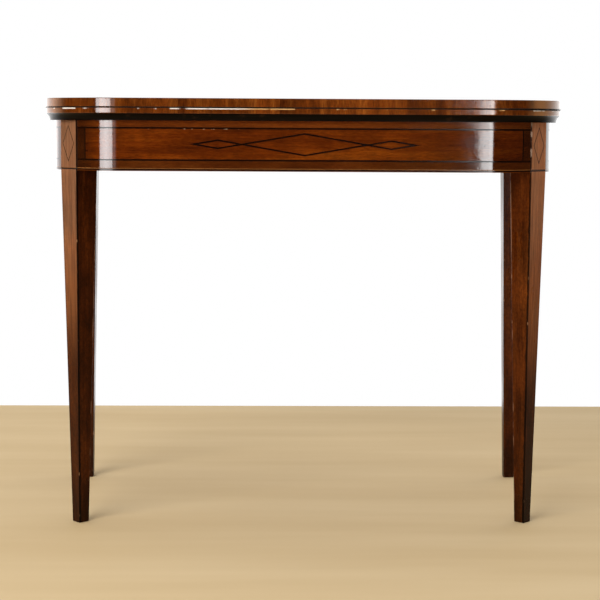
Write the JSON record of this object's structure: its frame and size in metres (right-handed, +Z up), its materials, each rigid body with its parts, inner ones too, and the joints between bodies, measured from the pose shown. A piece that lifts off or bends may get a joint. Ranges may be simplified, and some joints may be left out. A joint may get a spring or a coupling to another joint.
{
  "type": "fold-over card table",
  "caption": "Mahogany D-ended card table: a fold-over top on brass end hinges, an inlaid bow-cornered frieze, square tapered legs and a swinging gate leg.",
  "frame": {"origin": "on the floor, under the middle of the closed table's box", "axes": "+X to the right seen from the front, +Y to the back (hinge side), +Z up"},
  "size_m": [0.914, 0.4632, 0.744],
  "materials": {
    "mahogany": "old polish, semi-gloss",
    "panel_veneer": "polished red-brown veneer",
    "crossbanding": "polished cross-grained veneer",
    "black_string": "polished stringing, stained black",
    "light_string": "polished pale stringing",
    "black_moulding": "ebonised, semi-gloss",
    "pine": "bare, aged",
    "back_rail_wood": "bare beech, stained",
    "brass": "dull, tarnished",
    "steel": "old iron",
    "baize": "woven wool nap"
  },
  "bodies": {
    "frame": {"back_rail_screws": "steel", "edge_moulding": "black_moulding", "end_black_lines": "black_string", "end_border_strings": "black_string", "end_crossbandings": "crossbanding", "end_light_lines": "light_string", "end_lips": "crossbanding", "end_panel_veneers": "panel_veneer", "fixed_outer_rail": "back_rail_wood", "frieze_black_line_front": "black_string", "frieze_border_string": "black_string", "frieze_core_corner_left": "pine", "frieze_core_corner_right": "pine", "frieze_core_front": "pine", "frieze_core_side_left": "pine", "frieze_core_side_right": "pine", "frieze_crossbanding": "crossbanding", "frieze_light_line_front": "light_string", "frieze_lip_front": "crossbanding", "frieze_lozenge_strings": "black_string", "frieze_panel_veneer": "panel_veneer", "front_leg_black_lines": "black_string", "front_leg_left": "mahogany", "front_leg_light_lines": "light_string", "front_leg_lozenge_strings": "black_string", "front_leg_right": "mahogany", "gate_pin": "steel", "glue_blocks": "pine", "hinge_pin_left": "steel", "hinge_pin_right": "steel", "hinge_plate_lower_left": "brass", "hinge_plate_lower_right": "brass", "hinge_screws_lower": "brass", "inner_back_rail": "pine", "lower_baize": "baize", "lower_leaf": "mahogany", "lower_leaf_edge_band": "crossbanding", "rear_leg_fixed": "mahogany", "top_fixing_screws": "steel"},
    "folding_leaf": {"upper_leaf": "mahogany", "upper_leaf_edge_band": "crossbanding", "top_crossbanding": "crossbanding", "top_string": "black_string", "upper_baize": "baize", "hinge_plate_upper_left": "brass", "hinge_plate_upper_right": "brass", "hinge_screws_upper": "brass"},
    "gate": {"gate_rail": "back_rail_wood", "gate_leg": "mahogany"}
  },
  "joints": [
    {"name": "leaf_fold", "type": "hinge", "parent": "frame", "child": "folding_leaf", "pos_m": [0, 0.22565, 0.7282], "axis": [-1, 0, 0], "range_deg": [0, 180]},
    {"name": "gate_swing", "type": "hinge", "parent": "frame", "child": "gate", "pos_m": [0, 0.17935, 0.66], "axis": [0, 0, -1], "range_deg": [0, 90]}
  ]
}
